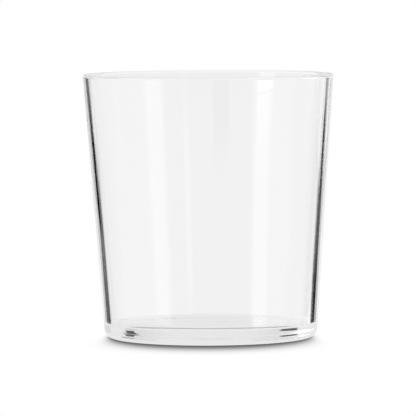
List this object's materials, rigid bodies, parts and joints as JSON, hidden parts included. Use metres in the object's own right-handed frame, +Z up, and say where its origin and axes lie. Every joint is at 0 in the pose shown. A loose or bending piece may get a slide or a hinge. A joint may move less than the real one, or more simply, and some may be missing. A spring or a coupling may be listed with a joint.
{
  "type": "cortado glass",
  "caption": "Straight-sided, slightly tapered tumbler of clear glass with a rounded rim, thick base and knurled standing ring, for a short milky coffee.",
  "frame": {"origin": "centre of the foot, on the surface that the glass stands on", "axes": "+Z up along the axis of the glass, from the foot to the mouth; X and Y are alike"},
  "size_m": [0.0698, 0.0698, 0.0736],
  "materials": {
    "clear_glass": "clear and colourless, fire-polished all over"
  },
  "bodies": {
    "root": {"tumbler": "clear_glass"}
  },
  "joints": []
}
